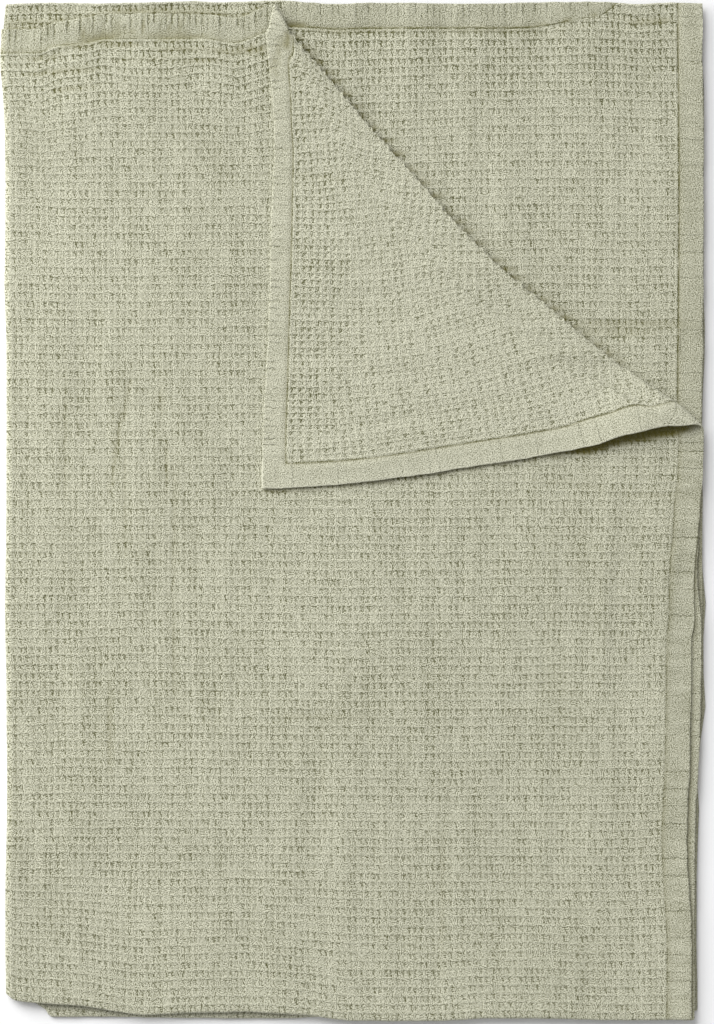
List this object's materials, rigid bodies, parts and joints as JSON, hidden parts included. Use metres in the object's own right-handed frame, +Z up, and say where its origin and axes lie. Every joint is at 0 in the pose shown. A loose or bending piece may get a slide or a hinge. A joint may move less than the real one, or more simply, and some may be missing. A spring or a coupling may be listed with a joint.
{
  "type": "bedspread",
  "caption": "Folded waffle-weave bedspread, in four layers, with the corner of the top layer turned back.",
  "frame": {"origin": "middle of the flat underside, below the middle of the folded pack's outline", "axes": "+Z up out of the pack, +Y from the bottom fold to the free ends, +X from the side fold to the long hems"},
  "size_m": [0.9084, 1.3118, 0.0282],
  "materials": {
    "washed_cotton": "washed matt sage-green cotton, waffle weave with plain hems"
  },
  "bodies": {
    "root": {"bedspread": "washed_cotton"}
  },
  "joints": []
}
